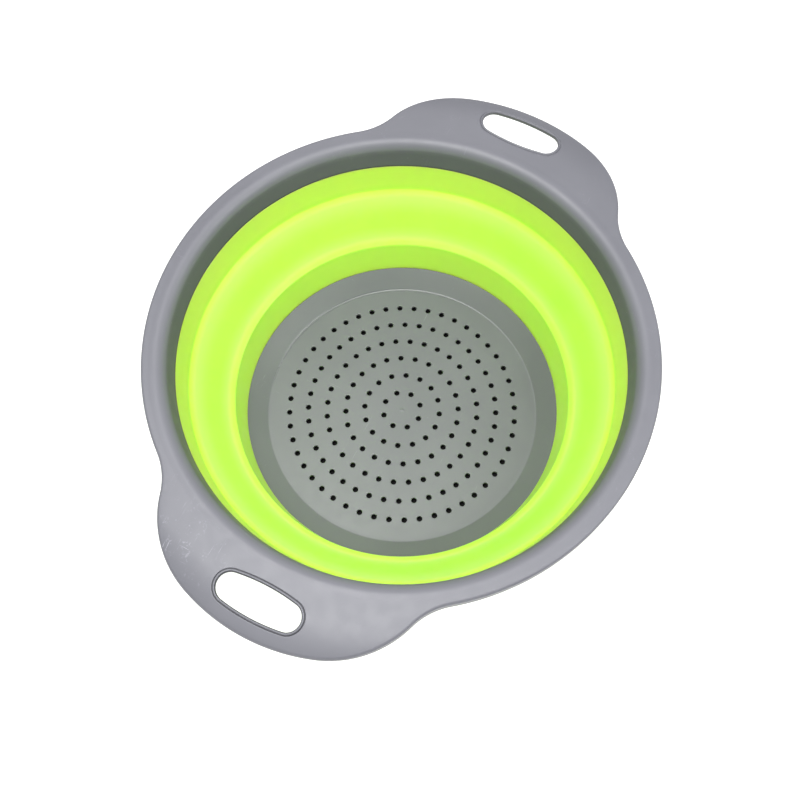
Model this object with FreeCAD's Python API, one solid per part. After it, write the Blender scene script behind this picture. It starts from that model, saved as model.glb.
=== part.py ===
import FreeCAD, Part
import math
import os

# Folding colander, millimetres.  Origin: centre of the foot, on the table.
# +Z is up and +X points at a handle.  The colander is modelled opened out.
# Three mouldings: a grey rim with two handles, a green silicone wall that folds
# at two thin creases, and a grey base with drain holes.

# Heights above the table
FLOOR_Z = 6.0             # top face of the perforated floor
BASE_TOP_Z = 13.2         # the silicone wall starts here
LOWER_BAND_TOP_Z = 34.4   # below the lower crease
MIDDLE_BOTTOM_Z = 36.0    # above the lower crease
MIDDLE_TOP_Z = 58.4       # below the upper crease
UPPER_BAND_Z = 61.6       # above the upper crease
WALL_TOP_Z = 77.5         # the silicone wall ends here, at the rim
SKIRT_BOTTOM_Z = 85.5     # lower edge of the rim's turned-down lip
RIM_TOP_Z = 93.3          # top face of the rim and handles

# Radii of the inside of the bowl at those heights
FLOOR_R = 72.8
BASE_TOP_R = 82.75
LOWER_BAND_TOP_R = 86.4
MIDDLE_BOTTOM_R = 88.9
MIDDLE_TOP_R = 102.1
UPPER_BAND_R = 104.6
WALL_TOP_R = 107.2
RIM_MOUTH_R = 109.6       # where the rim's inner wall would meet its top face

# Rim and handles, seen from above
RIM_R = 120.0             # outer edge of the rim between the handles
HANDLE_TIP_X = 146.8      # furthest point of a handle
HANDLE_NOSE_R = 93.4      # the handle's long outer edge
HANDLE_SHOULDER_R = 49.9  # its two rounded corners
HANDLE_SHOULDER_DEG = 19.9
HANDLE_BLEND_R = 33.1     # hollow curve that runs back into the rim
MOUTH_ROLL_R = 5.5        # rounding between the inner wall and the top face
RIM_EDGE_R = 1.5          # rounding of the outer edge
RIM_WALL = 2.0            # wall thickness of the rim moulding
DOME_START_R = 127.0      # the handles fall away from here to their tips
DOME_R = 44.0             # curvature of that fall
DOME_LEAD = 0.02          # the fall starts this much above the top face, to meet it in a clean edge

# Finger slot in each handle
SLOT_X = 131.3
SLOT_HALF_WIDTH = 7.4
SLOT_HALF_LENGTH = 20.7
SLOT_SIDE_R = 92.0
SLOT_BEAD = 1.2           # width of the bead round the slot
SLOT_BEAD_RISE = 0.4      # how far the bead stands above the handle

# Silicone wall and base
SILICONE = 2.1            # thickness of a band, measured along the radius
CREASE_GAP = 0.3          # clearance between a crease and the band it doesn't belong to
CREASE_THICKNESS = 0.5
FLOOR_THICKNESS = 2.2
BASE_WALL = 2.25
FOOT_WIDTH = 2.4

# Drain holes: each ring has eight more holes than the one inside it
HOLE_PITCH = 10.2
HOLE_RINGS = 6
HOLES_PER_STEP = 8
HOLE_R = 1.45
HOLES_TURN_DEG = -1.7     # the base is welded in with its holes turned this far from the handles
GATE_PIP_R = 0.9
GATE_PIP_HEIGHT = 0.3

OVERRUN = 5.0             # how far a cutting tool runs past the face it cuts

Z_AXIS = FreeCAD.Vector(0, 0, 1)
ORIGIN = FreeCAD.Vector(0, 0, 0)


def vec(x, y, z=0.0):
    """A point in millimetres."""
    return FreeCAD.Vector(x, y, z)


def polar(centre, radius, angle):
    """The point at an angle on a circle in the XY plane."""
    return centre + vec(radius * math.cos(angle), radius * math.sin(angle))


def arc(centre, radius, start, end):
    """An arc in the XY plane between two angles."""
    middle = 0.5 * (start + end)
    return Part.Arc(
        polar(centre, radius, start),
        polar(centre, radius, middle),
        polar(centre, radius, end),
    ).toShape()


def revolved(section):
    """A ring from a closed outline of (radius, height) corners."""
    corners = [vec(radius, 0, height) for radius, height in section]
    wire = Part.makePolygon(corners + corners[:1])
    return Part.Face(wire).revolve(ORIGIN, Z_AXIS, 360)


def prism(outline, bottom, top):
    """A straight-sided block over a closed outline."""
    face = Part.Face(outline)
    face.translate(vec(0, 0, bottom))
    return face.extrude(vec(0, 0, top - bottom))


def four_way(edges):
    """A closed outline from the edges of its first quarter."""
    front = edges + [edge.mirror(ORIGIN, vec(0, 1, 0)) for edge in edges]
    whole = front + [edge.mirror(ORIGIN, vec(1, 0, 0)) for edge in front]
    return Part.Wire(Part.__sortEdges__(whole))


def handle_curve_centres():
    """Centres of the nose, shoulder and blend arcs, and the angles where they meet."""
    shoulder_angle = math.radians(HANDLE_SHOULDER_DEG)
    nose = vec(HANDLE_TIP_X - HANDLE_NOSE_R, 0)
    shoulder = polar(nose, HANDLE_NOSE_R - HANDLE_SHOULDER_R, shoulder_angle)
    # The blend arc touches the shoulder arc and the rim circle from outside
    to_shoulder = HANDLE_SHOULDER_R + HANDLE_BLEND_R
    to_centre = RIM_R + HANDLE_BLEND_R
    cosine = (shoulder.Length ** 2 + to_centre ** 2 - to_shoulder ** 2) / (2 * shoulder.Length * to_centre)
    rim_angle = math.atan2(shoulder.y, shoulder.x) + math.acos(cosine)
    blend = polar(ORIGIN, to_centre, rim_angle)
    reach = blend - shoulder
    blend_angle = math.atan2(reach.y, reach.x)
    return nose, shoulder, blend, shoulder_angle, blend_angle, rim_angle


def rim_outline(inset=0.0):
    """The rim and both handles from above, moved inwards by inset."""
    nose, shoulder, blend, shoulder_angle, blend_angle, rim_angle = handle_curve_centres()
    return four_way([
        arc(nose, HANDLE_NOSE_R - inset, 0, shoulder_angle),
        arc(shoulder, HANDLE_SHOULDER_R - inset, shoulder_angle, blend_angle),
        arc(blend, HANDLE_BLEND_R + inset, blend_angle + math.pi, rim_angle + math.pi),
        arc(ORIGIN, RIM_R - inset, rim_angle, math.pi / 2),
    ])


def slot_outline(outset=0.0):
    """A finger slot about the origin: two long curved sides and two round ends."""
    width, length, side = SLOT_HALF_WIDTH, SLOT_HALF_LENGTH, SLOT_SIDE_R
    end_r = (2 * side * width - width ** 2 - length ** 2) / (2 * (side - length))
    side_centre = vec(width - side, 0)
    end_centre = vec(0, length - end_r)
    reach = end_centre - side_centre
    meet = math.atan2(reach.y, reach.x)
    return four_way([
        arc(side_centre, side + outset, 0, meet),
        arc(end_centre, end_r + outset, meet, math.pi / 2),
    ])


def slot_block(outset, bottom, top, sign):
    """A slot-shaped block in the handle on the +X or -X side."""
    block = prism(slot_outline(outset), bottom, top)
    block.translate(vec(sign * SLOT_X, 0))
    return block


def edges_at(shape, height, keep):
    """The edges that lie at one height and pass a test on their distance from the axis."""
    found = []
    for edge in shape.Edges:
        box = edge.BoundBox
        level = abs(box.ZMin - height) < 1e-4 and abs(box.ZMax - height) < 1e-4
        middle = edge.valueAt(0.5 * (edge.FirstParameter + edge.LastParameter))
        if level and keep(math.hypot(middle.x, middle.y)):
            found.append(edge)
    return found


def mouth_radius(height):
    """Radius of the rim's inner wall at a height, without its rounded top."""
    share = (height - WALL_TOP_Z) / (RIM_TOP_Z - WALL_TOP_Z)
    return WALL_TOP_R + share * (RIM_MOUTH_R - WALL_TOP_R)


def mouth_cone(offset, bottom, top):
    """The space inside the rim's inner wall, grown outwards by offset."""
    return revolved([
        (0, bottom),
        (mouth_radius(bottom) + offset, bottom),
        (mouth_radius(top) + offset, top),
        (0, top),
    ])


def above_handles(raised):
    """The space above the handles' falling top faces, raised by a distance."""
    base_z = RIM_TOP_Z + DOME_LEAD + raised
    reach = HANDLE_TIP_X + OVERRUN - DOME_START_R
    drop = DOME_R - math.sqrt(DOME_R ** 2 - reach ** 2)
    middle_drop = DOME_R - math.sqrt(DOME_R ** 2 - 0.25 * reach ** 2)
    start = vec(DOME_START_R, 0, base_z)
    middle = vec(DOME_START_R + 0.5 * reach, 0, base_z - middle_drop)
    end = vec(DOME_START_R + reach, 0, base_z - drop)
    corners = [end, vec(end.x, 0, base_z + OVERRUN), vec(start.x, 0, base_z + OVERRUN), start]
    fall = Part.Arc(start, middle, end).toShape()
    wire = Part.Wire([fall] + Part.makePolygon(corners).Edges)
    return Part.Face(wire).revolve(ORIGIN, Z_AXIS, 360)


def outer_edges(shape):
    """The upper edges along the rim's outline."""
    found = []
    for edge in shape.Edges:
        ends = [math.hypot(v.X, v.Y) for v in edge.Vertexes]
        box = edge.BoundBox
        upright = box.ZMax - box.ZMin > 0.5 and box.DiagonalLength - (box.ZMax - box.ZMin) < 0.5
        low = box.ZMax < SKIRT_BOTTOM_Z + 1
        across = max(ends) - min(ends) < 0.01 and min(ends) > RIM_R + 1 and abs(box.ZMin - RIM_TOP_Z) < 0.01
        if not upright and not low and not across:
            found.append(edge)
    return found


def rim_frame():
    """Rim with a rolled mouth, a turned-down lip and two slotted handles, open underneath."""
    under_top = RIM_TOP_Z - RIM_WALL
    cover = prism(rim_outline(), SKIRT_BOTTOM_Z, RIM_TOP_Z).cut(above_handles(0))
    cover = cover.makeFillet(RIM_EDGE_R, outer_edges(cover))
    cover = cover.fuse(mouth_cone(RIM_WALL, WALL_TOP_Z, SKIRT_BOTTOM_Z + 1))

    hollow = prism(rim_outline(RIM_WALL), SKIRT_BOTTOM_Z - OVERRUN, under_top).cut(above_handles(-RIM_WALL))
    hollow = hollow.cut(mouth_cone(RIM_WALL, SKIRT_BOTTOM_Z - 2 * OVERRUN, RIM_TOP_Z))
    inner_edge = edges_at(hollow, under_top, lambda r: r < RIM_MOUTH_R + 2 * RIM_WALL)
    hollow = hollow.makeFillet(MOUTH_ROLL_R - RIM_WALL, inner_edge)

    frame = cover.cut(hollow).cut(mouth_cone(0, WALL_TOP_Z - OVERRUN, RIM_TOP_Z + OVERRUN))
    mouth_edge = edges_at(frame, RIM_TOP_Z, lambda r: r < RIM_MOUTH_R + 1)
    frame = frame.makeFillet(MOUTH_ROLL_R, mouth_edge)
    for sign in (1, -1):
        bead = slot_block(SLOT_BEAD, under_top, RIM_TOP_Z + SLOT_BEAD_RISE, sign)
        frame = frame.fuse(bead.cut(above_handles(SLOT_BEAD_RISE)))
        frame = frame.cut(slot_block(0, SKIRT_BOTTOM_Z - OVERRUN, RIM_TOP_Z + OVERRUN, sign))
    return frame.removeSplitter()


def wall_band(bottom_r, bottom_z, top_r, top_z):
    """One stiff band of the silicone wall."""
    return revolved([
        (bottom_r, bottom_z),
        (bottom_r + SILICONE, bottom_z),
        (top_r + SILICONE, top_z),
        (top_r, top_z),
    ])


def upper_crease():
    """The thin crease under the upper band; it hangs from that band."""
    bottom = MIDDLE_TOP_Z + CREASE_GAP
    return revolved([
        (MIDDLE_TOP_R + CREASE_THICKNESS, bottom),
        (MIDDLE_TOP_R + SILICONE, bottom),
        (UPPER_BAND_R + SILICONE - CREASE_THICKNESS, UPPER_BAND_Z),
        (UPPER_BAND_R, UPPER_BAND_Z),
    ])


def lower_crease():
    """The thin crease on the lower band, which stands under the middle band."""
    top = MIDDLE_BOTTOM_Z - CREASE_GAP
    return revolved([
        (LOWER_BAND_TOP_R, LOWER_BAND_TOP_Z),
        (LOWER_BAND_TOP_R + SILICONE, LOWER_BAND_TOP_Z),
        (MIDDLE_BOTTOM_R + SILICONE - CREASE_THICKNESS, top),
        (MIDDLE_BOTTOM_R, top),
    ])


def base_ring():
    """The base's sloping side and the foot ring that it stands on."""
    foot_r = FLOOR_R + FOOT_WIDTH
    slope = (BASE_TOP_Z - FLOOR_Z) / (BASE_TOP_R - FLOOR_R)
    outer_r = BASE_TOP_R + BASE_WALL
    shoulder_z = BASE_TOP_Z - BASE_WALL
    return revolved([
        (FLOOR_R, 0),
        (foot_r, 0),
        (foot_r, shoulder_z - slope * (outer_r - foot_r)),
        (outer_r, shoulder_z),
        (outer_r, BASE_TOP_Z),
        (BASE_TOP_R, BASE_TOP_Z),
        (FLOOR_R, FLOOR_Z),
    ])


def strainer_plate():
    """The flat floor with its rings of drain holes and the low pip at its centre."""
    bottom = FLOOR_Z - FLOOR_THICKNESS
    plate = Part.makeCylinder(FLOOR_R, FLOOR_THICKNESS, vec(0, 0, bottom))
    plate = plate.fuse(Part.makeCylinder(GATE_PIP_R, FLOOR_THICKNESS + GATE_PIP_HEIGHT, vec(0, 0, bottom)))
    tools = []
    for ring in range(1, HOLE_RINGS + 1):
        count = HOLES_PER_STEP * ring
        for index in range(count):
            angle = math.radians(HOLES_TURN_DEG) + 2 * math.pi * index / count
            centre = polar(vec(0, 0, bottom - OVERRUN), HOLE_PITCH * ring, angle)
            tools.append(Part.makeCylinder(HOLE_R, FLOOR_THICKNESS + 2 * OVERRUN, centre))
    return plate.cut(Part.makeCompound(tools))


NODES = {
    "rim_frame": rim_frame,
    "upper_wall_band": lambda: wall_band(UPPER_BAND_R, UPPER_BAND_Z, WALL_TOP_R, WALL_TOP_Z),
    "upper_crease": upper_crease,
    "middle_wall_band": lambda: wall_band(MIDDLE_BOTTOM_R, MIDDLE_BOTTOM_Z, MIDDLE_TOP_R, MIDDLE_TOP_Z),
    "lower_crease": lower_crease,
    "lower_wall_band": lambda: wall_band(BASE_TOP_R, BASE_TOP_Z, LOWER_BAND_TOP_R, LOWER_BAND_TOP_Z),
    "base_ring": base_ring,
    "strainer_plate": strainer_plate,
}


os.makedirs("parts", exist_ok=True)
for node, make in NODES.items():
    shape = make()
    print(node, "valid", shape.isValid(), "solids", len(shape.Solids), "mm3", round(shape.Volume))
    shape.exportStep("parts/" + node + ".step")
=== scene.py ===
"""Looks of the folding colander: grey rim with two handles, green silicone wall, grey drain base."""
import math

import bmesh
import bpy
from mathutils import Matrix, Vector, geometry


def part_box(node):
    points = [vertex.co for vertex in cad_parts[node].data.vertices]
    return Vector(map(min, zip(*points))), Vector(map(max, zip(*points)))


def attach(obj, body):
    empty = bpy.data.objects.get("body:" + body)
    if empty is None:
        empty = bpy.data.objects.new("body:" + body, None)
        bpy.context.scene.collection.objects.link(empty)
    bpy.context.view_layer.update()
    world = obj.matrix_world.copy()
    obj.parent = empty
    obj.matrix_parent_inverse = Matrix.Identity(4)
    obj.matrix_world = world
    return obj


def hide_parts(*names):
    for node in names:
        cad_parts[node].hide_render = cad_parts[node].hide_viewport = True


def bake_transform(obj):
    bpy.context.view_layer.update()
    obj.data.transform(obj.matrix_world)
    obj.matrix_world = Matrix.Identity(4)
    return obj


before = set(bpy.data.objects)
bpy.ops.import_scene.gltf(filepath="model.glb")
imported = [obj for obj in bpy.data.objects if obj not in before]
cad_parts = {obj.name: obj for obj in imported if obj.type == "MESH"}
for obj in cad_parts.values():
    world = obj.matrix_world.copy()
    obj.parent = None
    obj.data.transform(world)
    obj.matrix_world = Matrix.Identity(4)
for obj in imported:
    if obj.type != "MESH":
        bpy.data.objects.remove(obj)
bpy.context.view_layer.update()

MM = 0.001
AROUND = 288                     # points round every turned ring

# Boxes of the CAD nodes that the shapes below are measured from
_, RIM_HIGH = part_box("rim_frame")
UPPER_LOW, UPPER_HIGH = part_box("upper_wall_band")
MIDDLE_LOW, MIDDLE_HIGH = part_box("middle_wall_band")
LOWER_LOW, LOWER_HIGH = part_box("lower_wall_band")
_, BASE_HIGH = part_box("base_ring")
PLATE_LOW, PLATE_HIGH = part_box("strainer_plate")

# Silicone wall
SILICONE = 2.1 * MM
WALL_TOP_R = UPPER_HIGH.x - SILICONE
UPPER_BAND_R = WALL_TOP_R - 2.6 * MM
MIDDLE_TOP_R = MIDDLE_HIGH.x - SILICONE
MIDDLE_BOTTOM_R = MIDDLE_TOP_R - 13.2 * MM
LOWER_BAND_TOP_R = LOWER_HIGH.x - SILICONE
BASE_TOP_R = LOWER_BAND_TOP_R - 3.65 * MM
LOWER_FOLD_Z = 0.5 * (LOWER_HIGH.z + MIDDLE_LOW.z)
UPPER_FOLD_Z = 0.5 * (MIDDLE_HIGH.z + UPPER_LOW.z)
# Painted highlight along each crease: its height, and how far it fades away from the middle band and towards
# it
CREASE_HIGHLIGHTS = (
    (LOWER_FOLD_Z + 1.4 * MM, 2.0 * MM, 6.5 * MM),
    (UPPER_FOLD_Z - 2.0 * MM, 2.4 * MM, 10.0 * MM),
)
PAINTED_BAND_LIGHT_RAMP = 4.0 * MM            # beyond a crease, the bands' painted lighter colour, standing in for light, is reached over this height

# Rim and handles
RIM_R = RIM_HIGH.y
HANDLE_TIP_X = RIM_HIGH.x
HANDLE_NOSE_R = 93.4 * MM
HANDLE_SHOULDER_R = 49.9 * MM
HANDLE_SHOULDER_ANGLE = math.radians(19.9)
HANDLE_BLEND_R = 33.1 * MM
RIM_WALL = 2.0 * MM
LIP_WALL = 1.7 * MM
SLOT_BEAD_RISE = 0.4 * MM
RIM_TOP_Z = RIM_HIGH.z - SLOT_BEAD_RISE
SKIRT_BOTTOM_Z = RIM_TOP_Z - 7.8 * MM
MOUTH_R = WALL_TOP_R + 2.4 * MM  # where the inner wall would meet the top face
MOUTH_ROLL_R = 5.5 * MM
FLANGE_DROP = 0.12 * MM          # the flange lies this much below the crest of the rolled mouth
FLANGE_R = MOUTH_R + 8.3 * MM    # and is flat from here
EDGE_R = 1.3 * MM                # rounding of the outer edge
LIP_FOOT_R = 0.6 * MM            # rounding of the lip's lower edge
LIP_ROOT_R = 0.7 * MM            # rounding where the lip meets the underside
LIP_LINE = 1.3 * MM              # height of the painted shadow line along the lip's foot
MOUTH_LINE = 1.1 * MM            # height of the painted shadow line where the inner wall meets the silicone
INNER_WALL_SHADE = 0.36          # painted shade: how much darker the inner wall is painted than the flange
DOME_START_R = 127.0 * MM        # the handles fall away from here to their tips
DOME_R = 44.0 * MM

# Finger slots
SLOT_X = 131.3 * MM
SLOT_HALF_WIDTH = 7.4 * MM
SLOT_HALF_LENGTH = 20.1 * MM
SLOT_SIDE_R = 92.0 * MM
# Section of a slot's border: groove, raised bead and slot wall, as (outset, rise) in millimetres,
# then how much painted shade each loop gets in the groove and on the slot's wall
SLOT_SECTION = (
    (2.2, 0.0, 0.0, 0.0), (1.88, 0.0, 0.0, 0.0), (1.76, -0.03, 0.0, 0.0), (1.66, -0.1, 0.5, 0.0),
    (1.58, -0.35, 1.0, 0.0), (1.26, -0.35, 1.0, 0.0), (1.22, -0.05, 0.4, 0.0), (1.17, 0.14, 0.0, 0.0),
    (1.08, 0.28, 0.0, 0.0), (0.96, 0.36, 0.0, 0.0), (0.8, 0.4, 0.0, 0.0), (0.6, 0.4, 0.0, 0.0),
    (0.44, 0.34, 0.0, 0.3), (0.24, 0.2, 0.0, 1.0), (0.07, -0.06, 0.0, 1.0), (0.0, -0.35, 0.0, 1.0),
    (0.0, -1.35, 0.0, 0.5), (0.06, -1.65, 0.0, 0.0), (0.22, -1.86, 0.0, 0.0), (0.45, -1.97, 0.0, 0.0),
    (0.75, -2.0, 0.0, 0.0), (1.5, -2.0, 0.0, 0.0),
)
# How much painted shade darkens the groove and the slot's wall, on the handle at +X and on the other
PAINTED_SLOT_SHADE = {1: (0.85, 1.0), -1: (0.1, 0.5)}

# Base
FLOOR_Z = PLATE_HIGH.z - 0.3 * MM
FLOOR_R = PLATE_HIGH.x
HOLE_PITCH = 10.2 * MM
HOLE_RINGS = 6
HOLES_PER_STEP = 8
HOLE_R = 1.45 * MM
HOLES_TURN = math.radians(-1.7)
POLISHED_SIDE = math.radians(228)  # where the corner round the floor is glossy
PIP_R = 0.9 * MM
PIP_HEIGHT = 0.25 * MM
PIP_SECTION = ((1.6, 0.0), (1.15, 0.0), (1.0, 0.12), (0.8, 0.45), (0.5, 0.8), (0.2, 0.97))
BASE_WALL = 2.25 * MM
CONE_DROP = 7.1 * MM             # height of the base's sloping outside
FOOT_WIDTH = 2.4 * MM

# Colours
GREY, GREY_LIGHT = (0.177, 0.179, 0.202), (0.187, 0.189, 0.213)
BASE_GREY, BASE_GREY_LIGHT = (0.152, 0.155, 0.168), (0.164, 0.167, 0.180)
# Painted shade: places on the rim are darkened towards this near-black grey
PAINTED_SHADE_GREY = (0.035, 0.036, 0.042)
# Painted light: the same silicone is painted darker in the middle band and lighter in the steep bands, for
# how light falls on them, and paler along the creases as a painted highlight
MIDDLE_GREEN, MIDDLE_GREEN_LIGHT = (0.50, 0.935, 0.096), (0.52, 0.945, 0.105)
PAINTED_LIT_BAND_GREEN, PAINTED_LIT_BAND_GREEN_LIGHT = (0.615, 0.98, 0.128), (0.635, 0.985, 0.136)
CREASE_HIGHLIGHT_GREEN = (0.565, 0.96, 0.185)
HANDLE_SCRATCHES = (0.126, -0.040, 0.093)  # centre of the scratched patch

# Stage, soft studio lamps (name, place, width, power) and camera
# The table under the base is a dark painted shadow; beyond it the table glows evenly
PAINTED_SHADOW_GREY, TABLE_GREY, TABLE_GLOW = 0.03, 0.40, 1.0
LAMPS = (
    ("overhead", (0.08, -0.07, 0.76), 0.50, 5.3),
    ("right", (-0.10, 0.45, 0.60), 0.40, 2.1),
    ("behind", (-0.60, -0.30, 0.70), 0.40, 0.7),
    ("front", (0.38, -0.06, 0.55), 0.35, 0.45),
)
SKY_STRENGTH = 0.19
CAMERA_AIM = Vector((-4.6, -3.6, 6.0)) * MM
CAMERA_AZIMUTH, CAMERA_ELEVATION, CAMERA_ROLL = math.radians(28.43), math.radians(69.61), math.radians(-1.27)
CAMERA_DISTANCE = 535.1 * MM
CAMERA_LENS = 44.06


# ---------------------------------------------------------------- mesh helpers

def rounded(corners, steps=6, closed=True):
    """A smooth (radius, height) profile from corners of (radius, height, rounding)."""
    path = []
    count = len(corners)
    for i, (r, z, rounding) in enumerate(corners):
        here = Vector((r, z))
        if rounding == 0 or (not closed and i in (0, count - 1)):
            path.append(here)
            continue
        back = Vector(corners[i - 1][:2]) - here
        ahead = Vector(corners[(i + 1) % count][:2]) - here
        half = 0.5 * back.angle(ahead)
        share = 0.8 if rounding > 5 * MM else 0.49
        reach = min(rounding / math.tan(half), share * back.length, share * ahead.length)
        radius = reach * math.tan(half)
        centre = here + (back.normalized() + ahead.normalized()).normalized() * radius / math.sin(half)
        first = here + back.normalized() * reach - centre
        last = here + ahead.normalized() * reach - centre
        turn = first.angle(last)
        for k in range(steps + 1):
            a = turn * k / steps
            path.append(centre + (first * math.sin(turn - a) + last * math.sin(a)) / math.sin(turn))
    return supported(path, closed)


def supported(path, closed, gap=0.6 * MM):
    """The same profile with extra points near the ends of its long straight runs."""
    full = []
    count = len(path)
    for i, point in enumerate(path):
        full.append(point)
        if not closed and i == count - 1:
            break
        step = path[(i + 1) % count] - point
        if step.length > 4 * gap:
            full.append(point + step.normalized() * gap)
            full.append(point + step - step.normalized() * gap)
    return full


def divided(start, end, longest):
    """The start of a profile's run and the points that cut it into short pieces."""
    count = max(1, math.ceil((end - start).length / longest))
    return [start.lerp(end, i / count) for i in range(count)]


def on_circle(centre, radius, angle):
    """The point on a circle at an angle from +X."""
    return Vector((centre.x + radius * math.cos(angle), centre.y + radius * math.sin(angle)))


def ring_points(radius, height, count=AROUND):
    """Points round the axis at one radius and height."""
    angles = [2 * math.pi * i / count for i in range(count)]
    return [Vector((radius * math.cos(a), radius * math.sin(a), height)) for a in angles]


def add_loop(bm, points):
    """New vertices of a mesh for a closed loop of points."""
    return [bm.verts.new(p) for p in points]


def paint(loop, layer, amount):
    """Gives one value of a vertex layer to all of a loop."""
    for vertex in loop:
        vertex[layer] = amount


def strip(bm, first, second):
    """A band of faces between two loops with the same number of vertices."""
    count = len(first)
    for i in range(count):
        k = (i + 1) % count
        bm.faces.new((first[i], first[k], second[k], second[i]))


def strips(bm, loops, closed=False):
    """Bands between each loop and the next."""
    for first, second in zip(loops, loops[1:]):
        strip(bm, first, second)
    if closed:
        strip(bm, loops[-1], loops[0])


def patch(bm, loops, extra, inside):
    """Fills the flat region between loops.  extra are points inside it to keep the triangles even."""
    verts = [v for loop in loops for v in loop]
    edges = []
    start = 0
    for loop in loops:
        count = len(loop)
        edges += [(start + i, start + (i + 1) % count) for i in range(count)]
        start += count
    verts += add_loop(bm, extra)
    flat = [Vector((v.co.x, v.co.y)) for v in verts]
    made = geometry.delaunay_2d_cdt(flat, edges, [], 0, 1e-8)
    points, faces, sources = made[0], made[2], made[3]
    for face in faces:
        centre = sum((points[i] for i in face), Vector((0, 0))) / len(face)
        if inside(centre.x, centre.y):
            bm.faces.new([verts[sources[i][0]] for i in face])
    loose = [v for v in verts if not v.link_faces]
    bmesh.ops.delete(bm, geom=loose, context="VERTS")


def within(loop, x, y):
    """True if a point lies inside a closed loop of points, seen from above."""
    odd = False
    previous = loop[-1]
    for point in loop:
        if (point.y > y) != (previous.y > y):
            crossing = point.x + (y - point.y) * (previous.x - point.x) / (previous.y - point.y)
            odd ^= x < crossing
        previous = point
    return odd


def finished(name, bm):
    """A smooth-shaded object from a mesh under construction."""
    bmesh.ops.recalc_face_normals(bm, faces=bm.faces)
    mesh = bpy.data.meshes.new(name)
    bm.to_mesh(mesh)
    bm.free()
    mesh.shade_smooth()
    piece = bpy.data.objects.new(name, mesh)
    bpy.context.scene.collection.objects.link(piece)
    return piece


# ------------------------------------------------------------------- materials

class Nodes:
    """Short calls for building a material's node tree."""

    def __init__(self, name):
        self.material = bpy.data.materials.new(name)
        self.material.use_nodes = True
        self.tree = self.material.node_tree
        self.shader = self.tree.nodes["Principled BSDF"]
        self.place = self.add("ShaderNodeTexCoord").outputs["Object"]

    def add(self, kind, **settings):
        """A new node with some of its settings."""
        node = self.tree.nodes.new(kind)
        for key, value in settings.items():
            setattr(node, key, value)
        return node

    def link(self, output, target):
        self.tree.links.new(output, target)

    def noise(self, scale, detail=3.0, roughness=0.5, place=None):
        node = self.add("ShaderNodeTexNoise")
        node.inputs["Scale"].default_value = scale
        node.inputs["Detail"].default_value = detail
        node.inputs["Roughness"].default_value = roughness
        self.link(place or self.place, node.inputs["Vector"])
        return node.outputs["Fac"]

    def span(self, value, low, high, to_low=0.0, to_high=1.0):
        """Maps a value from one range to another, clamped, with a smooth step."""
        node = self.add("ShaderNodeMapRange", interpolation_type="SMOOTHSTEP")
        self.link(value, node.inputs["Value"])
        for key, number in zip(("From Min", "From Max", "To Min", "To Max"), (low, high, to_low, to_high)):
            node.inputs[key].default_value = number
        return node.outputs["Result"]

    def maths(self, operation, first, second=None):
        """Sum, product or another operation on numbers or node outputs."""
        node = self.add("ShaderNodeMath", operation=operation)
        for socket, value in zip(node.inputs, (first, second)):
            if isinstance(value, (int, float)):
                socket.default_value = value
            elif value is not None:
                self.link(value, socket)
        return node.outputs["Value"]

    def mix(self, share, first, second):
        """A colour between two colours."""
        node = self.add("ShaderNodeMix", data_type="RGBA")
        self.link(share, node.inputs["Factor"])
        for socket, colour in ((node.inputs["A"], first), (node.inputs["B"], second)):
            if isinstance(colour, tuple):
                socket.default_value = (*colour, 1.0)
            else:
                self.link(colour, socket)
        return node.outputs["Result"]

    def bump(self, height, strength, distance):
        node = self.add("ShaderNodeBump")
        node.inputs["Strength"].default_value = strength
        node.inputs["Distance"].default_value = distance
        self.link(height, node.inputs["Height"])
        return node.outputs["Normal"]

    def attribute(self, name):
        """A value stored on the mesh's vertices."""
        return self.add("ShaderNodeAttribute", attribute_name=name).outputs["Fac"]

    def most(self, first, second):
        return self.maths("MAXIMUM", first, second)

    def product(self, first, second):
        return self.maths("MULTIPLY", first, second)

    def stretched(self, scale, turn):
        """The object's coordinates turned about Z and stretched, for marks that run one way."""
        node = self.add("ShaderNodeMapping")
        node.inputs["Rotation"].default_value = (0, 0, turn)
        node.inputs["Scale"].default_value = scale
        self.link(self.place, node.inputs["Vector"])
        return node.outputs["Vector"]


def scratches(n, worn):
    """How much each place is marked by hairlines, specks and dust.  worn is the centre of a worn patch."""
    lines = n.span(n.noise(1.0, 2, 0.6, n.stretched((60, 1500, 400), 0.5)), 0.66, 0.72)
    cross = n.span(n.noise(1.0, 2, 0.6, n.stretched((1300, 70, 400), 0.9)), 0.68, 0.74)
    specks = n.span(n.noise(520, 1), 0.74, 0.80)
    marks = n.most(n.most(lines, cross), specks)
    patches = n.product(n.span(n.noise(75, 2), 0.56, 0.70), 0.22)
    if worn:
        away = n.add("ShaderNodeVectorMath", operation="DISTANCE")
        n.link(n.place, away.inputs[0])
        away.inputs[1].default_value = worn
        near = n.span(away.outputs["Value"], 0.004, 0.028, 1.0, 0.0)
        patches = n.most(patches, n.product(near, n.span(n.noise(110, 2), 0.40, 0.62)))
        dust = n.product(n.span(n.noise(900, 2), 0.52, 0.70), n.span(n.noise(240, 2), 0.45, 0.65, 0.0, 0.6))
        marks = n.most(marks, dust)
    return n.product(marks, patches)


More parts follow.
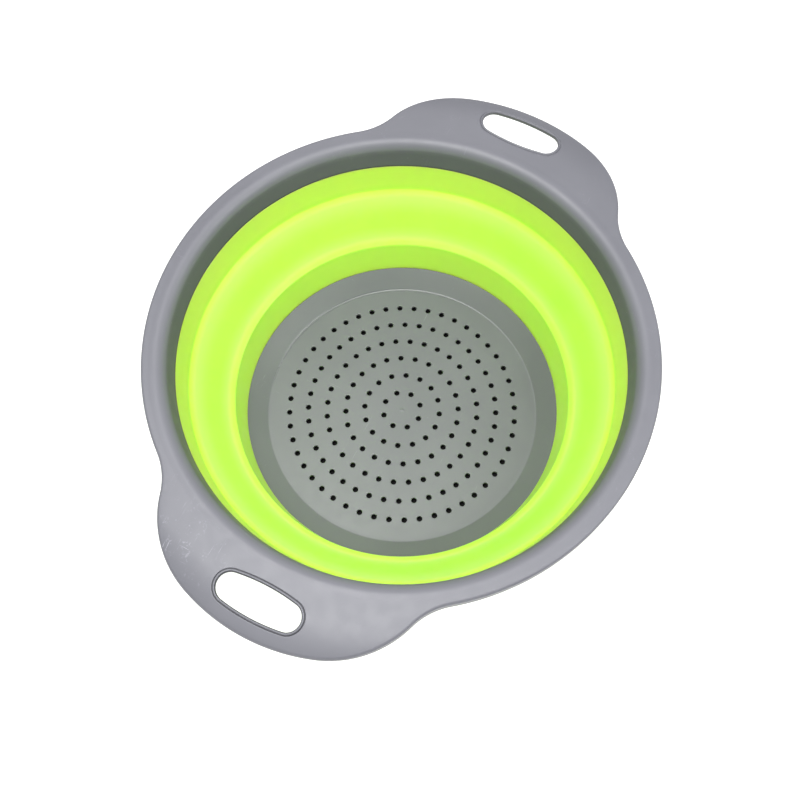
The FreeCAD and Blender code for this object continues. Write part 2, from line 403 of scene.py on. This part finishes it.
def moulded_plastic(name, colour, light, worn=None):
    """Satin polypropylene with a fine moulded grain, painted shade in its grooves, slot walls, inner mouth
    wall and along the lip's foot, and a glossy corner where it is rubbed.
    """
    n = Nodes(name)
    cloudy = n.span(n.noise(22, 4), 0.35, 0.65)
    # Painted shade: vertices with a painted shade value are darkened towards a near-black grey
    body = n.mix(n.attribute("painted_shade"), n.mix(cloudy, colour, light), PAINTED_SHADE_GREY)
    scratched = tuple(2.1 * c for c in light)
    n.link(n.mix(scratches(n, worn), body, scratched), n.shader.inputs["Base Color"])
    satin = n.span(n.noise(180, 3), 0.3, 0.7, 0.39, 0.45)
    gloss = n.product(n.attribute("shine"), 0.22)
    n.link(n.maths("SUBTRACT", satin, gloss), n.shader.inputs["Roughness"])
    n.link(n.bump(n.noise(2600, 2), 0.10, 0.06 * MM), n.shader.inputs["Normal"])
    n.shader.inputs["IOR"].default_value = 1.49
    return n.material


def silicone(name):
    """Lime silicone: soft sheen, light passing through it, the steep bands painted lighter than the middle
    band, and a painted highlight along each crease.
    """
    n = Nodes(name)
    cloudy = n.span(n.noise(30, 3), 0.35, 0.65)
    middle = n.mix(cloudy, MIDDLE_GREEN, MIDDLE_GREEN_LIGHT)
    bands = n.mix(cloudy, PAINTED_LIT_BAND_GREEN, PAINTED_LIT_BAND_GREEN_LIGHT)
    # Painted light: the steep bands lighter than the middle band
    body = n.mix(n.attribute("painted_band_light"), middle, bands)
    # Painted highlight along each crease
    n.link(n.mix(n.attribute("crease_highlight"), body, CREASE_HIGHLIGHT_GREEN), n.shader.inputs["Base Color"])
    n.link(n.span(n.noise(140, 3), 0.3, 0.7, 0.36, 0.46), n.shader.inputs["Roughness"])
    n.link(n.bump(n.noise(1800, 2), 0.08, 0.05 * MM), n.shader.inputs["Normal"])
    n.shader.inputs["IOR"].default_value = 1.41
    n.shader.inputs["Subsurface Weight"].default_value = 1.0
    n.shader.inputs["Subsurface Radius"].default_value = (0.85, 1.0, 0.4)
    n.shader.inputs["Subsurface Scale"].default_value = 5.0 * MM
    return n.material


# ------------------------------------------------------------------------- rim

def quarter_outline():
    """Points and outward directions along the rim's outer edge, from a handle's tip to its side."""
    nose = Vector((HANDLE_TIP_X - HANDLE_NOSE_R, 0))
    shoulder = on_circle(nose, HANDLE_NOSE_R - HANDLE_SHOULDER_R, HANDLE_SHOULDER_ANGLE)
    to_shoulder = HANDLE_SHOULDER_R + HANDLE_BLEND_R
    to_centre = RIM_R + HANDLE_BLEND_R
    reach = shoulder.length
    cosine = (reach ** 2 + to_centre ** 2 - to_shoulder ** 2) / (2 * reach * to_centre)
    rim_angle = math.atan2(shoulder.y, shoulder.x) + math.acos(cosine)
    blend = on_circle(Vector((0, 0)), to_centre, rim_angle)
    meet = math.atan2(blend.y - shoulder.y, blend.x - shoulder.x)
    spans = (
        (nose, HANDLE_NOSE_R, 0, HANDLE_SHOULDER_ANGLE, 16, 1),
        (shoulder, HANDLE_SHOULDER_R, HANDLE_SHOULDER_ANGLE, meet, 30, 1),
        (blend, HANDLE_BLEND_R, meet + math.pi, rim_angle + math.pi, 16, -1),
        (Vector((0, 0)), RIM_R, rim_angle, math.pi / 2, 46, 1),
    )
    edge = []
    for centre, radius, start, end, count, side in spans:
        for i in range(count):
            angle = start + (end - start) * i / count
            outward = Vector((math.cos(angle), math.sin(angle))) * side
            edge.append((on_circle(centre, radius, angle), outward))
    edge.append((Vector((0, RIM_R)), Vector((0, 1))))
    return edge


def whole_outline():
    """The quarter outline repeated round the rim, anticlockwise from a handle's tip."""
    quarter = quarter_outline()
    half = quarter + [(Vector((-p.x, p.y)), Vector((-d.x, d.y))) for p, d in reversed(quarter[:-1])]
    return half[:-1] + [(-p, -d) for p, d in half[:-1]]


OUTLINE = whole_outline()


def fall(place):
    """How far the handles' top face has fallen away at a place."""
    beyond = max(math.hypot(place.x, place.y) - DOME_START_R, 0.0)
    return DOME_R - math.sqrt(DOME_R ** 2 - beyond ** 2)


def edge_loop(inset, height, falls=True):
    """A loop that follows the rim's outline, moved inwards by inset."""
    loop = []
    for point, outward in OUTLINE:
        place = point - outward * inset
        loop.append(Vector((place.x, place.y, height - falls * fall(place))))
    return loop


def edge_loops(level, under):
    """Loops over the outer edge, down the lip, round its foot and up inside it to the underside."""
    over = [math.radians(a) for a in (0, 12, 26, 40, 54, 68, 80, 90)]
    quarter = [math.radians(a) for a in (0, 30, 60, 90)]
    lean = 0.05 * MM
    loops = [edge_loop(EDGE_R * (1 - math.sin(a)), level - EDGE_R * (1 - math.cos(a))) for a in over]
    foot = SKIRT_BOTTOM_Z + LIP_FOOT_R
    loops += [edge_loop(lean, foot + rise * MM, False) for rise in (1.3, 0.65)]
    for a in quarter:
        loops.append(edge_loop(lean + LIP_FOOT_R * (1 - math.cos(a)), foot - LIP_FOOT_R * math.sin(a), False))
    for a in quarter:
        inset = LIP_WALL - LIP_FOOT_R * (1 - math.sin(a))
        loops.append(edge_loop(inset, foot - LIP_FOOT_R * math.cos(a), False))
    for a in quarter:
        inset = LIP_WALL + LIP_ROOT_R * (1 - math.cos(a))
        loops.append(edge_loop(inset, under - LIP_ROOT_R * (1 - math.sin(a))))
    return loops


def mouth_profile(level, under):
    """Section of the rolled mouth: the flange, the roll, the inner wall and back up outside it."""
    lean = math.atan2(MOUTH_R - WALL_TOP_R, RIM_TOP_Z - UPPER_HIGH.z)
    crest_r = MOUTH_R + MOUTH_ROLL_R * math.tan(0.5 * (math.pi / 2 - lean))
    centre = Vector((crest_r, RIM_TOP_Z - MOUTH_ROLL_R))
    path = [Vector((FLANGE_R, level)), Vector((FLANGE_R - 0.9 * MM, level))]
    run = FLANGE_R - 1.3 * MM - crest_r
    for share in (0.9, 0.7, 0.5, 0.3, 0.15):
        path.append(Vector((crest_r + run * share, RIM_TOP_Z - FLANGE_DROP * share ** 2)))
    for i in range(15):
        angle = math.pi / 2 + (math.pi / 2 - lean) * i / 14
        path.append(on_circle(centre, MOUTH_ROLL_R, angle))
    start, end = path[-1], Vector((WALL_TOP_R, UPPER_HIGH.z))
    path += [start.lerp(end, share) for share in (0.2, 0.4, 0.6, 0.75, 0.86)]
    foot = rounded([
        (path[-1].x, path[-1].y, 0),
        (WALL_TOP_R, UPPER_HIGH.z, 0.4 * MM),
        (WALL_TOP_R + RIM_WALL, UPPER_HIGH.z, 0.3 * MM),
        (MOUTH_R + RIM_WALL - 0.3 * MM, under, MOUTH_ROLL_R - RIM_WALL),
        (FLANGE_R - 1.6 * MM, under, 0),
    ], steps=7, closed=False)
    return path + foot[1:]


def slot_loop(outset, height, side):
    """A loop round a finger slot, outset from its wall.  side is 1 or -1 for the two handles."""
    width, length, flank = SLOT_HALF_WIDTH, SLOT_HALF_LENGTH, SLOT_SIDE_R
    end_r = (2 * flank * width - width ** 2 - length ** 2) / (2 * (flank - length))
    flank_centre = Vector((width - flank, 0))
    end_centre = Vector((0, length - end_r))
    meet = math.atan2(end_centre.y - flank_centre.y, end_centre.x - flank_centre.x)
    quarter = [on_circle(flank_centre, flank + outset, meet * i / 14) for i in range(14)]
    rest = math.pi / 2 - meet
    quarter += [on_circle(end_centre, end_r + outset, meet + rest * i / 16) for i in range(17)]
    half = quarter + [Vector((-p.x, p.y)) for p in reversed(quarter[:-1])]
    loop = half[:-1] + [Vector((-p.x, -p.y)) for p in half[:-1]]
    placed = [Vector((side * (SLOT_X + p.x), side * p.y, height)) for p in loop]
    for p in placed:
        p.z -= fall(p)
    return placed


def rim_patch(bm, outer, holes, mouth, height, step=3 * MM):
    """Fills the top or the underside of the rim between its edge, its mouth and its slots."""
    edge, *gaps = [[v.co.copy() for v in loop] for loop in (outer, *holes, mouth)]
    border = [p for loop in (edge, *gaps) for p in loop]

    def inside(x, y):
        return within(edge, x, y) and not any(within(g, x, y) for g in gaps)

    extra = []
    radius = FLANGE_R + 0.6 * step
    while radius < HANDLE_TIP_X:
        for point in ring_points(radius, height, int(2 * math.pi * radius / step)):
            clear = min((p.x - point.x) ** 2 + (p.y - point.y) ** 2 for p in border) > (0.55 * step) ** 2
            if clear and inside(point.x, point.y):
                point.z -= fall(point)
                extra.append(point)
        radius += 0.87 * step
    patch(bm, [outer, *holes, mouth], extra, inside)


def make_slot(bm, level, side, painted_shade):
    """Adds the loops of one finger slot's border, from the handle's top to its underside."""
    groove_dark, wall_dark = PAINTED_SLOT_SHADE[side]
    ring = []
    for outset, rise, in_groove, on_wall in SLOT_SECTION:
        loop = add_loop(bm, slot_loop(outset * MM, level + rise * MM, side))
        # Painted shade in the groove and on the slot's wall
        paint(loop, painted_shade, wall_dark * on_wall + groove_dark * in_groove)
        ring.append(loop)
    strips(bm, ring)
    return ring


def mouth_shade(height):
    """How much painted shade the mouth gets at a height: none on the roll, some on the inner wall, and a
    painted shadow line at its foot.
    """
    if height < UPPER_HIGH.z + MOUTH_LINE:
        return 0.8
    drop = (RIM_TOP_Z - height) / MOUTH_ROLL_R
    return INNER_WALL_SHADE * min(max((drop - 0.72) / 0.25, 0.0), 1.0)


def make_rim():
    """The rim moulding: rolled mouth, flange, handles with beaded slots, lip, and open underneath."""
    bm = bmesh.new()
    painted_shade = bm.verts.layers.float.new("painted_shade")
    level = RIM_TOP_Z - FLANGE_DROP
    under = level - RIM_WALL
    edge = [add_loop(bm, loop) for loop in edge_loops(level, under)]
    strips(bm, edge)
    mouth = [add_loop(bm, ring_points(p.x, p.y)) for p in mouth_profile(level, under)]
    strips(bm, mouth)
    slots = [make_slot(bm, level, side, painted_shade) for side in (1, -1)]
    # Painted shadow line along the lip's foot
    for loop in edge:
        paint(loop, painted_shade, 1.0 if loop[0].co.z < SKIRT_BOTTOM_Z + LIP_LINE else 0.0)
    # Painted shade on the mouth's inner wall and a painted shadow line at its foot
    for loop in mouth:
        paint(loop, painted_shade, mouth_shade(loop[0].co.z))
    rim_patch(bm, edge[0], [ring[0] for ring in slots], mouth[0], level)
    rim_patch(bm, edge[-1], [ring[-1] for ring in slots], mouth[-1], under)
    piece = finished("rim_and_handles", bm)
    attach(piece, "rim")
    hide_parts("rim_frame")
    return piece


# ------------------------------------------------------------------------ wall

def wall_profile():
    """Section of the silicone wall: up its inside and down its outside."""
    t = SILICONE
    inner = [
        (BASE_TOP_R, LOWER_LOW.z, 0.45 * MM),
        (LOWER_BAND_TOP_R - 0.4 * MM, LOWER_HIGH.z - 0.4 * MM, 1.2 * MM),
        (MIDDLE_BOTTOM_R, MIDDLE_LOW.z, 9.0 * MM),
        (MIDDLE_TOP_R, MIDDLE_HIGH.z, 9.0 * MM),
        (UPPER_BAND_R, UPPER_LOW.z - 0.9 * MM, 1.8 * MM),
        (WALL_TOP_R, UPPER_HIGH.z - 0.05 * MM, 0.45 * MM),
    ]
    outer = [
        (WALL_TOP_R + t, UPPER_HIGH.z - 0.05 * MM, 0.3 * MM),
        (UPPER_BAND_R + t, UPPER_LOW.z - 0.4 * MM, 0.9 * MM),
        (MIDDLE_TOP_R + t, MIDDLE_HIGH.z + 0.2 * MM, 1.0 * MM),
        (MIDDLE_BOTTOM_R + t, MIDDLE_LOW.z, 1.6 * MM),
        (LOWER_BAND_TOP_R + t, LOWER_HIGH.z, 0.9 * MM),
        (BASE_TOP_R + t, LOWER_LOW.z, 0.3 * MM),
    ]
    path = rounded(inner + outer, steps=9)
    return [q for p, following in zip(path, path[1:] + path[:1]) for q in divided(p, following, 3.0 * MM)]


def crease_highlight_share(height):
    """How much painted highlight a height gets: 1 at a crease, falling smoothly to 0 in the bands."""
    centre = 0.5 * (LOWER_FOLD_Z + UPPER_FOLD_Z)
    most = 0.0
    for crease, outwards, inwards in CREASE_HIGHLIGHTS:
        away = height - crease
        reach = inwards if (away > 0) == (crease < centre) else outwards
        share = min(abs(away) / reach, 1.0)
        most = max(most, 0.5 + 0.5 * math.cos(math.pi * share))
    return most


def painted_band_light_share(height):
    """How much lighter a height is painted, standing in for light: 0 in the middle band, rising softly beyond
    the creases to 1 in the upper band and 0.75 in the lower.
    """
    half = 0.5 * (UPPER_FOLD_Z - LOWER_FOLD_Z)
    beyond = abs(height - LOWER_FOLD_Z - half) - half
    most = 1.0 if height > LOWER_FOLD_Z else 0.75
    return most * min(max(beyond / PAINTED_BAND_LIGHT_RAMP, 0.0), 1.0)


def make_wall():
    """The silicone wall, one moulding from the base to the rim, with the two creases where the real wall is
    thinner and folds.
    """
    bm = bmesh.new()
    loops = [add_loop(bm, ring_points(p.x, p.y)) for p in wall_profile()]
    strips(bm, loops, closed=True)
    piece = finished("silicone_wall", bm)
    # Per-vertex shares of the painted highlight at the creases and of the painted lighter colour of the steep
    # bands
    crease_highlight = piece.data.attributes.new("crease_highlight", "FLOAT", "POINT")
    painted_band_light = piece.data.attributes.new("painted_band_light", "FLOAT", "POINT")
    for vertex in piece.data.vertices:
        crease_highlight.data[vertex.index].value = crease_highlight_share(vertex.co.z)
        painted_band_light.data[vertex.index].value = painted_band_light_share(vertex.co.z)
    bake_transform(piece)
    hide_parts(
        "upper_wall_band", "upper_crease", "middle_wall_band", "lower_crease", "lower_wall_band"
    )
    return piece


# ------------------------------------------------------------------------ base

def hole_centres():
    """Centres of the drain holes: each ring has eight more than the one inside it."""
    return [
        on_circle(Vector((0, 0)), HOLE_PITCH * ring, HOLES_TURN + 2 * math.pi * i / (HOLES_PER_STEP * ring))
        for ring in range(1, HOLE_RINGS + 1)
        for i in range(HOLES_PER_STEP * ring)
    ]


def base_patch(bm, border, holes, discs):
    """Fills one face of the floor between its border and the holes.  discs are their centres and radii."""
    limit = math.hypot(border[0].co.x, border[0].co.y)
    height = border[0].co.z
    extra = []
    for ring in range(1, HOLE_RINGS):
        extra += ring_points(HOLE_PITCH * (ring + 0.5), height, 24 + 28 * ring)
    patch(
        bm, [border, *holes], extra,
        lambda x, y: math.hypot(x, y) < limit
        and all(math.hypot(x - centre.x, y - centre.y) > 0.978 * radius for centre, radius in discs),
    )


def base_profile(under):
    """Section of the base: sloping inside, sloping outside and foot ring, from the floor to its underside."""
    foot_r = FLOOR_R + FOOT_WIDTH
    outer_r = BASE_TOP_R + BASE_WALL
    shoulder = BASE_HIGH.z - BASE_WALL
    return rounded([
        (FLOOR_R - 3.5 * MM, FLOOR_Z, 0),
        (FLOOR_R - 2.5 * MM, FLOOR_Z, 0),
        (FLOOR_R, FLOOR_Z, 1.6 * MM),
        (BASE_TOP_R, BASE_HIGH.z, 0.4 * MM),
        (outer_r, BASE_HIGH.z, 0.3 * MM),
        (outer_r, shoulder, 0.9 * MM),
        (foot_r, shoulder - CONE_DROP, 1.0 * MM),
        (foot_r, 0, 0.5 * MM),
        (FLOOR_R, 0, 0.5 * MM),
        (FLOOR_R, under, 0.6 * MM),
        (FLOOR_R - 2.5 * MM, under, 0),
    ], steps=6, closed=False)


def polish(loop, shine):
    """Makes one side of a loop glossy."""
    for vertex in loop:
        turn = math.atan2(vertex.co.y, vertex.co.x) - POLISHED_SIDE
        vertex[shine] = max(0.0, math.cos(turn))


def make_base():
    """The base moulding: perforated floor, sloping side and foot ring."""
    bm = bmesh.new()
    shine = bm.verts.layers.float.new("shine")
    under = PLATE_LOW.z
    path = base_profile(under)
    turned = [add_loop(bm, ring_points(p.x, p.y)) for p in path]
    strips(bm, turned)
    for loop, point in zip(turned, path):
        if abs(point.x - FLOOR_R) < 0.9 * MM and point.y > FLOOR_Z - 0.1 * MM:
            polish(loop, shine)

    centres = hole_centres()
    depth = (FLOOR_Z - under) / MM
    section = [
        (0.50, 0.0), (0.20, 0.0), (0.06, -0.06), (0.0, -0.22),
        (0.0, 0.2 - depth), (0.15, -depth), (0.4, -depth),
    ]
    top_loops, under_loops = [], []
    for centre in centres:
        ring = []
        for grown, drop in section:
            points = ring_points(HOLE_R + grown * MM, FLOOR_Z + drop * MM, 20)
            ring.append(add_loop(bm, [p + Vector((centre.x, centre.y, 0)) for p in points]))
        strips(bm, ring)
        top_loops.append(ring[0])
        under_loops.append(ring[-1])

    pip = [add_loop(bm, ring_points(PIP_R * r, FLOOR_Z + PIP_HEIGHT * h, 20)) for r, h in PIP_SECTION]
    strips(bm, pip)
    bm.faces.new(pip[-1])

    upper_discs = [(c, HOLE_R + section[0][0] * MM) for c in centres]
    upper_discs.append((Vector((0, 0)), PIP_R * PIP_SECTION[0][0]))
    base_patch(bm, turned[0], [*top_loops, pip[0]], upper_discs)
    base_patch(bm, turned[-1], under_loops, [(c, HOLE_R + section[-1][0] * MM) for c in centres])
    piece = finished("drain_base", bm)
    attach(piece, "base")
    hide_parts("base_ring", "strainer_plate")
    return piece


# ---------------------------------------------------------------- stage, light

def make_floor():
    """A white light table.  Under the base it doesn't glow and is painted dark as a shadow, so the drain
    holes look dark.
    """
    mesh = bpy.data.meshes.new("floor")
    half = 3.0
    corners = [(-half, -half, 0), (half, -half, 0), (half, half, 0), (-half, half, 0)]
    mesh.from_pydata(corners, [], [(0, 1, 2, 3)])
    floor = bpy.data.objects.new("floor", mesh)
    bpy.context.scene.collection.objects.link(floor)
    n = Nodes("light_table")
    apart = n.add("ShaderNodeVectorMath", operation="LENGTH")
    n.link(n.place, apart.inputs[0])
    outside = n.span(apart.outputs["Value"], FLOOR_R, FLOOR_R + 6 * MM)
    # Dark painted shadow under the base, glowing white table beyond it
    n.link(n.mix(outside, (PAINTED_SHADOW_GREY,) * 3, (TABLE_GREY,) * 3), n.shader.inputs["Base Color"])
    n.link(n.maths("MULTIPLY", outside, TABLE_GLOW), n.shader.inputs["Emission Strength"])
    n.shader.inputs["Emission Color"].default_value = (1, 1, 1, 1)
    n.shader.inputs["Roughness"].default_value = 0.9
    n.shader.inputs["Specular IOR Level"].default_value = 0.1
    floor.data.materials.append(n.material)


def make_light():
    """Soft lamps round the table, a dim white sky, and plain colours without a film look."""
    scene = bpy.context.scene
    scene.world = bpy.data.worlds.new("studio")
    scene.world.use_nodes = True
    sky = scene.world.node_tree.nodes["Background"]
    sky.inputs["Color"].default_value = (1, 1, 1, 1)
    sky.inputs["Strength"].default_value = SKY_STRENGTH
    scene.view_settings.view_transform = "Standard"
    for name, place, width, power in LAMPS:
        lamp = bpy.data.lights.new(name, "AREA")
        lamp.shape = "DISK"
        lamp.size = width
        lamp.energy = power
        holder = bpy.data.objects.new(name, lamp)
        holder.location = place
        holder.rotation_mode = "QUATERNION"
        holder.rotation_quaternion = (-Vector(place)).to_track_quat("-Z", "Y")
        scene.collection.objects.link(holder)


def make_camera():
    """The camera stands over one handle and looks down into the bowl."""
    back = Vector((
        math.cos(CAMERA_ELEVATION) * math.cos(CAMERA_AZIMUTH),
        math.cos(CAMERA_ELEVATION) * math.sin(CAMERA_AZIMUTH),
        math.sin(CAMERA_ELEVATION),
    ))
    camera = bpy.data.objects.new("camera", bpy.data.cameras.new("camera"))
    camera.data.lens = CAMERA_LENS
    camera.data.sensor_width = 36.0
    camera.location = CAMERA_AIM + back * CAMERA_DISTANCE
    camera.rotation_mode = "QUATERNION"
    turned = (-back).to_track_quat("-Z", "Y").to_matrix() @ Matrix.Rotation(CAMERA_ROLL, 3, "Z")
    camera.rotation_quaternion = turned.to_quaternion()
    camera.data.clip_start = 0.01
    bpy.context.scene.collection.objects.link(camera)
    bpy.context.scene.camera = camera


rim = make_rim()
rim.data.materials.append(moulded_plastic("grey_plastic", GREY, GREY_LIGHT, HANDLE_SCRATCHES))
wall = make_wall()
wall.data.materials.append(silicone("green_silicone"))
base = make_base()
base.data.materials.append(moulded_plastic("base_plastic", BASE_GREY, BASE_GREY_LIGHT))
make_floor()
make_light()
make_camera()
